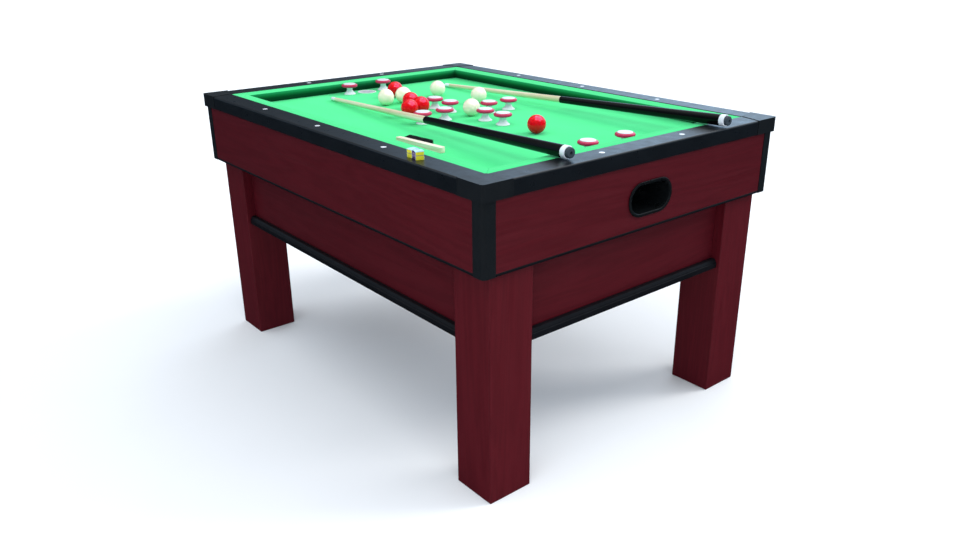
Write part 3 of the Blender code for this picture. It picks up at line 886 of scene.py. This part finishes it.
def build_bed():
    low, high = box_of("bed")
    pockets = [centre_of(f"pocket_liner_{side}").to_2d() for side in ("left", "right")]
    studs = [centre_of(node).to_2d() for node in bumper_nodes()]
    corners = [(low.x, low.y), (high.x, low.y), (high.x, high.y), (low.x, high.y)]
    edge = filleted([(x, y, BED_CORNER) for x, y in corners], 4)
    loops = [edge] + [circle(place, POCKET_HOLE_RADIUS, 64) for place in pockets]
    loops += [circle(place, STUD_HOLE_RADIUS, 20) for place in studs]
    top = BED_TOP + CLOTH_RISE
    board = plate_mesh("bed_board", loops, BED_BOTTOM, top - CLOTH_THICKNESS)
    piece_of("bed_board", board, BOARD, ["bed"])
    cloth = plate_mesh("bed_cloth", loops, top - CLOTH_THICKNESS, top)
    sheet = piece_of("bed_cloth", cloth, CLOTH)
    for index, x in enumerate(BATTENS_AT, 1):
        name = f"batten_{index}"
        place = moved((x, 0, BED_BOTTOM - 0.0125)) @ turned(90)
        batten = piece_of(name, box_mesh(name, BATTEN_SIZE), PINE, (), place)
        round_edges(batten, 0.0015, 2)


def build_pockets():
    for side in ("left", "right"):
        name = f"pocket_liner_{side}"
        low, high = box_of(name)
        centre = (low + high) / 2
        flange = (high.x - low.x) / 2
        profile = arc((flange - 0.0008, high.z - 0.0008), 0.0008, -10, 90, 4)
        profile += arc((0.0302, high.z - 0.0012), 0.0012, 90, 180, 6)
        profile += [(LINER_BORE, low.z + 0.001), (LINER_BORE + 0.0003, low.z), (LINER_RADIUS, low.z)]
        profile += [(LINER_RADIUS, BED_TOP + GAP), (flange, BED_TOP + GAP)]
        profile.append(profile[0])
        place = moved((centre.x, centre.y, 0))
        # The liner takes the brightened white, painted light for its shaded inside
        piece_of(name, lathe_mesh(name, profile, 96), LINER_BRIGHTENED_WHITE, [name], place)


def stadium_loft(name, profile, closed=True):
    """Stadium rings of (radius, depth), joined in order; depth runs along X."""
    rings = [[(depth, y, z) for y, z in stadium(radius)] for radius, depth in profile]
    count = len(rings[0])
    points = [point for ring in rings for point in ring]
    pairs = [(i, i + 1) for i in range(len(rings) - 1)]
    if closed:
        pairs.append((len(rings) - 1, 0))
    faces = []
    for a, b in pairs:
        for i in range(count):
            j = (i + 1) % count
            faces.append((a * count + i, a * count + j, b * count + j, b * count + i))
    if not closed:
        faces += [tuple(range(count)), tuple(range(len(points) - count, len(points)))]
    return mesh_of(name, points, faces)


def rod_mesh(name, radius, top, bottom):
    return lathe_mesh(name, [(0, top), (radius, top), (radius, bottom), (0, bottom)])


def build_returns():
    """A tray behind each end apron, fed by the pocket's chute, and the bezel round its opening."""
    pocket_x = centre_of("pocket_liner_right").x
    low, high = box_of("ball_return_right")
    back, face, chute_top = low.x, high.x - RETURN_SETBACK, high.z
    inside, inner = back + TUBE_WALL, TUBE_RADIUS - TUBE_WALL
    tube = [(TUBE_RADIUS - 0.006, back), (TUBE_RADIUS - 0.002, back + 0.001), (TUBE_RADIUS, back + 0.005)]
    tube += [(TUBE_RADIUS, face - 0.004)]
    hollow = [(inner - 0.007, inside), (inner - 0.002, inside + 0.0015), (inner, inside + 0.006)]
    hollow += [(inner, face + 0.01)]
    rim = [(BEZEL_RADIUS, GAP)] + arc((BEZEL_RADIUS - 0.0015, 0.0015), 0.0015, 0, 90, 5)
    rim += [(TUBE_RADIUS, 0.0030)] + arc((TUBE_RADIUS - 0.0015, 0.0005), 0.0025, 80, 180, 6)
    rim += [(0.0360, -0.0080), (0.0373, -0.0080), (0.0373, -0.001), (0.0390, GAP)]
    bezel = [(radius, face + depth) for radius, depth in rim]
    for side, turn in (("right", 0), ("left", 180)):
        name = f"ball_return_{side}"
        spin = turned(turn)
        matrix = spin @ moved((0, RETURN_SHIFT, RETURN_Z))
        spot = spin @ moved((pocket_x, 0, 0))
        mesh = stadium_loft(name, tube, False)
        tray = piece_of(name, mesh, RETURN_BLACK, [name], matrix)
        carve(tray, rod_mesh("chute", CHUTE_RADIUS, chute_top, RETURN_Z + CHUTE_SINK), spot, "UNION")
        carve(tray, stadium_loft("hollow", hollow, False), matrix)
        carve(tray, rod_mesh("bore", CHUTE_RADIUS - TUBE_WALL, chute_top + 0.01, RETURN_Z), spot)
        name = f"return_bezel_{side}"
        piece_of(name, stadium_loft(name, bezel), RETURN_BLACK, (), matrix)


# ---- bumpers and balls

def build_bumpers():
    for node in bumper_nodes():
        low, high = box_of(node)
        centre = (low + high) / 2
        place = moved((centre.x, centre.y, BED_TOP))
        top, foot = high.z - BED_TOP, low.z - BED_TOP
        washer_top = BED_BOTTOM - BED_TOP - GAP
        washer_foot = washer_top - WASHER_THICKNESS
        ring = arc(RING_CENTRE, RING_RADIUS, -90, 90, 12) + RING_INSIDE
        cap = [(0, top - 0.0004), (0.0070, top - 0.0003), (0.0160, top)]
        cap += arc((0.0190, top - 0.0016), 0.0016, 90, 0, 5) + [(0.0204, CAP_BOTTOM), (0, CAP_BOTTOM)]
        stud = [(0, -0.001), (0.0030, -0.001), (0.0030, foot + 0.0006), (0.0024, foot), (0, foot)]
        washer = [
            (0.0031, washer_top), (0.0080, washer_top), (0.0080, washer_foot), (0.0031, washer_foot),
        ]
        turned_parts = {
            "post": (BUMPER_POST, 48, 50, WHITE),
            "ring": (ring + ring[:1], 64, 35, RING_RUBBER),
            "cap": (cap, 64, 50, WHITE),
            "stud": (stud, 20, 35, STEEL),
            "washer": (washer + washer[:1], 32, 35, STEEL),
        }
        for part, (profile, steps, smooth_angle, material) in turned_parts.items():
            name = f"{node}_{part}"
            mesh = lathe_mesh(name, profile, steps, smooth_angle)
            piece_of(name, mesh, material, [node] if part == "cap" else (), place)
        hexagon = [circle((0, 0), NUT_RADIUS, 6), circle((0, 0), 0.0031, 24)]
        mesh = plate_mesh(f"{node}_nut", hexagon, washer_top - NUT_RADIUS, washer_top - NUT_TOP_GAP)
        nut = piece_of(f"{node}_nut", mesh, STEEL, (), place)
        round_edges(nut, 0.0004, 2)


def build_balls():
    """The balls, and a wide lamp that only puts the soft window-like shine on them."""
    lit = bpy.data.collections.new("balls")
    shine = add_lamp("shine_lamp", "AREA", 190.0, (0.60, 0.45, 2.8), (-0.28, -0.21, -0.94), size=2.8)
    shine.data.color = (0.80, 0.46, 1.0)
    shine.visible_diffuse = False
    shine.light_linking.receiver_collection = lit
    for colour, material in (("red", RED_RESIN), ("white", CREAM_RESIN)):
        for index in range(1, 6):
            node = f"ball_{colour}_{index}"
            low, high = box_of(node)
            bm = bmesh.new()
            bmesh.ops.create_icosphere(bm, subdivisions=5, radius=(high.z - low.z) / 2)
            mesh = bpy.data.meshes.new(node)
            bm.to_mesh(mesh)
            bm.free()
            mesh.shade_smooth()
            place = moved((low + high) / 2)
            ball = piece_of(node, mesh, material, [node], place, body=node)
            lit.objects.link(ball)


# ---- cues, chalk and brush

def cue_axis(node):
    """The matrix that stands a cue drawn up Z, tip at zero, along its CAD solid, and the cue's length."""
    corners = {tuple(round(c, 6) for c in v.co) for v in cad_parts[node].data.vertices}
    points = [Vector(corner) for corner in sorted(corners)]
    first, last = points[0].x, points[-1].x
    end_depth = 0.006
    tip_ring = [p for p in points if p.x < first + end_depth]
    butt_ring = [p for p in points if p.x > last - end_depth]
    tip = sum(tip_ring, Vector()) / len(tip_ring)
    butt = sum(butt_ring, Vector()) / len(butt_ring)
    direction = (butt - tip).normalized()
    along = [(p - tip).dot(direction) for p in points]
    start = tip + direction * min(along)
    turn = direction.to_track_quat("Z", "Y").to_matrix().to_4x4()
    return moved(start) @ turn, max(along) - min(along)


def cue_parts(length):
    """Each part's material and its profile of (radius, distance from the tip)."""
    joint = length * CUE_JOINT_AT
    ring_start, ring_end = length - 0.0245, length - 0.0098
    rubber = length - 0.0096
    return {
        "tip": (TIP_LEATHER, [
            (0, 0.0), (0.0025, 0.0004), (0.0046, 0.0016), (0.0058, 0.0038), (0.0060, 0.0065), (0, 0.0065),
        ]),
        "ferrule": (WHITE, [
            (0, 0.0066), (0.0061, 0.0066), (0.0062, 0.0070), (0.0063, 0.0300), (0, 0.0300),
        ]),
        "shaft": (MAPLE, [
            (0, 0.0301), (0.0063, 0.0301), (0.0078, joint * 0.5), (0.0100, joint - 0.0005),
            (0, joint - 0.0005),
        ]),
        "butt": (CUE_BLACK, [
            (0, joint), (0.0101, joint), (0.0105, joint + 0.0006), (0.0129, (joint + length) / 2),
            (0.0151, ring_start - 0.0002), (0, ring_start - 0.0002),
        ]),
        "ring": (WHITE, [
            (0, ring_start), (0.0150, ring_start), (0.0156, ring_start + 0.0010),
            (0.0156, ring_end - 0.0009), (0.0150, ring_end), (0, ring_end),
        ]),
        "bumper": (CUE_RUBBER, [
            (0, rubber), (0.0128, rubber), (0.0127, length - 0.0040), (0.0122, length - 0.0015),
            (0.0104, length), (0.0040, length), (0.0036, length - 0.0008), (0.0034, length - 0.0060),
            (0, length - 0.0060),
        ]),
    }


def build_cues():
    """The parts of each cue; only the shaft keeps its own axes, so that its grain runs along it."""
    lying = turned(90, "Y")
    for node in ("cue_1", "cue_2"):
        matrix, length = cue_axis(node)
        for part, (material, profile) in cue_parts(length).items():
            name = f"{node}_{part}"
            mesh = lathe_mesh(name, profile, 48)
            if part == "shaft":
                mesh.transform(lying)
                piece_of(name, mesh, material, [node], matrix @ lying.inverted(), body=node)
            else:
                mesh.transform(matrix)
                piece_of(name, mesh, material, body=node)


def wrap_material(name, label_axis):
    """Paper round a chalk cube: a plum label on two faces, yellow with a thin line on the others."""
    material, tree, shader = new_material(name, 0.55, 0.3)
    vector = object_coordinates(tree)
    place = add_node(tree, "SeparateXYZ", {"Vector": vector})
    across = [math_of(tree, "ABSOLUTE", place.outputs[i]) for i in (0, 1)]
    height = math_of(tree, "ABSOLUTE", place.outputs[2])
    on_label = math_of(tree, "GREATER_THAN", across[label_axis], across[1 - label_axis])
    fibres = noise_of(tree, vector, 700.0, 4.0, 0.6)
    paper = ramp_of(tree, fibres, [(0.3, (0.60, 0.55, 0.012)), (0.7, (0.74, 0.68, 0.035))])
    line = math_of(tree, "LESS_THAN", height, 0.0009)
    yellow = mix_of(tree, line, paper, (0.30, 0.25, 0.16))
    cells = add_node(tree, "TexVoronoi", {"Vector": vector, "Scale": 420.0}).outputs[0]
    lilac = ramp_of(tree, cells, [(0.22, (0.80, 0.74, 0.92)), (0.40, (0.16, 0.09, 0.22))])
    label = mix_of(tree, math_of(tree, "LESS_THAN", height, 0.0052), (0.12, 0.07, 0.17), lilac)
    plug(mix_of(tree, on_label, yellow, label), shader, "Base Color")
    add_bump(tree, shader, fibres, 0.2, 0.0002)
    return material


def build_chalk():
    blue = plastic_material("chalk_blue", (0.46, 0.72, 0.84), 0.95, 0.1, 1500.0, 0.8)
    wraps = [wrap_material("wrap_label_x", 0), wrap_material("wrap_label_y", 1)]
    for index, (turn, wrap) in enumerate(zip(CHALK_TURNS, wraps), 1):
        node = f"chalk_{index}"
        low, high = box_of(node)
        half = (high.z - low.z) / 2
        matrix = moved((low + high) / 2) @ turned(turn)
        corners = [(-half, -half), (half, -half), (half, half), (-half, half)]
        edge = filleted([(x, y, 0.0015) for x, y in corners], 4)
        inner = [(x * 0.975, y * 0.975) for x, y in edge]
        paper = plate_mesh(f"{node}_wrap", [edge, inner], -half, half - CHALK_DISH)
        piece_of(f"{node}_wrap", paper, wrap, (), matrix, body=node)
        block = chalk_block_mesh(f"{node}_block", half * 0.972, half)
        piece_of(f"{node}_block", block, blue, [node], matrix, body=node)


def chalk_block_mesh(name, half, top):
    """A chalk cube whose top is worn to a shallow, rough dish."""
    steps = 20
    width = steps + 1
    points, faces = [], []
    for i in range(width):
        for j in range(width):
            x, y = -half + 2 * half * i / steps, -half + 2 * half * j / steps
            away = min(1.0, sqrt(x * x + y * y) / half)
            roughness = 0.0003 * (1 + noise.noise((x * 400, y * 400, 1)))
            points.append((x, y, top - CHALK_DISH * (1 - away * away) - roughness))
    for i in range(steps):
        for j in range(steps):
            k = i * width + j
            faces.append((k, k + width, k + width + 1, k + 1))
    rim = [i * width for i in range(width)] + [steps * width + j for j in range(1, width)]
    rim += [i * width + steps for i in range(steps - 1, -1, -1)] + list(range(steps - 1, 0, -1))
    base = len(points)
    points += [(points[k][0], points[k][1], -top + 0.0004) for k in rim]
    for k in range(len(rim)):
        n = (k + 1) % len(rim)
        faces.append((rim[k], rim[n], base + n, base + k))
    faces.append(tuple(range(base, base + len(rim))))
    return mesh_of(name, points, faces, 40)


def build_brush():
    node = "table_brush"
    low, high = box_of(node)
    turn = turned(BRUSH_TURN)
    long, deep, tall = BRUSH_SIZE
    middle = centre_of(node)
    points = [turn.inverted() @ (v.co - middle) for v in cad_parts[node].data.vertices]
    left, front = min(p.x for p in points), min(p.y for p in points)
    origin = middle + turn @ Vector((left + long / 2, front + deep / 2, 0))
    origin.z = low.z + tall / 2
    matrix = moved(origin) @ turn
    x, y = long / 2, deep / 2
    edge = filleted([(-x, -y, 0.004), (x, -y, 0.006), (x, y, 0.006), (-x, y, 0.004)], 6)
    body = plate_mesh("brush_body", [edge], -tall / 2, tall / 2)
    handle = piece_of("brush_body", body, ASH, [node], matrix, body=node)
    round_edges(handle, 0.002, 4)
    bristles = bristle_mesh("brush_bristles", y - 0.0006, tall, high.z - low.z)
    piece_of("brush_bristles", bristles, TRIM_BLACK, (), matrix, body=node)


def steady_noise(x, y, z):
    """Three noise values that are the same on every run, which noise.noise_vector's are not."""
    return Vector([noise.noise((x + shift, y, z)) for shift in (0.0, 17.3, 41.9)])


def bristle_mesh(name, root, tall, top):
    """Rows of tufts; each tuft is a few tapered bristles that fan out toward their tips."""
    points, faces = [], []
    start, end = BRISTLE_RUN
    margin = 0.0008
    low, high = BRISTLE_BOTTOM - tall / 2 + margin, top - tall / 2 - margin
    reach = root + BRISTLE_LENGTH
    for row in range(BRISTLE_ROWS):
        level = row / (BRISTLE_ROWS - 1)
        root_z = (level - 0.5) * tall * 0.62
        tip_z = low + (high - low) * level
        for column in range(BRISTLE_COLUMNS):
            x = start + (end - start) * (column + 0.5) / BRISTLE_COLUMNS
            for strand in range(BRISTLE_STRANDS):
                angle = 2.4 * strand + 0.7 * column + row
                spread = 0.0019 * sqrt((strand + 0.5) / BRISTLE_STRANDS)
                offset = Vector((spread * cos(angle), 0, spread * sin(angle)))
                wobble = steady_noise(column * 3.1, row * 5.7, strand * 1.9) * 0.0011
                foot = Vector((x, root, root_z)) + offset * 0.4
                tip = Vector((x, reach - 0.001, tip_z)) + offset * 0.9 + wobble
                tip.y = min(tip.y, reach)
                tip.z = min(max(tip.z, low), high)
                add_bristle(points, faces, foot, tip)
    return mesh_of(name, points, faces)


def add_bristle(points, faces, foot, tip):
    base = len(points)
    for place, radius in zip((foot, tip), BRISTLE_RADII):
        for k in range(4):
            angle = pi / 2 * k
            points.append(place + Vector((radius * cos(angle), 0, radius * sin(angle))))
    for k in range(4):
        n = (k + 1) % 4
        faces.append((base + k, base + n, base + 4 + n, base + 4 + k))
    faces.append((base + 3, base + 2, base + 1, base))
    faces.append((base + 4, base + 5, base + 6, base + 7))


add_camera()
add_floor()
add_light()
build_legs()
build_aprons()
build_posts()
build_panels()
build_rails()
build_rail_corners()
build_cushions()
build_bed()
build_pockets()
build_returns()
build_bumpers()
build_balls()
build_cues()
build_chalk()
build_brush()
flatten_shading()
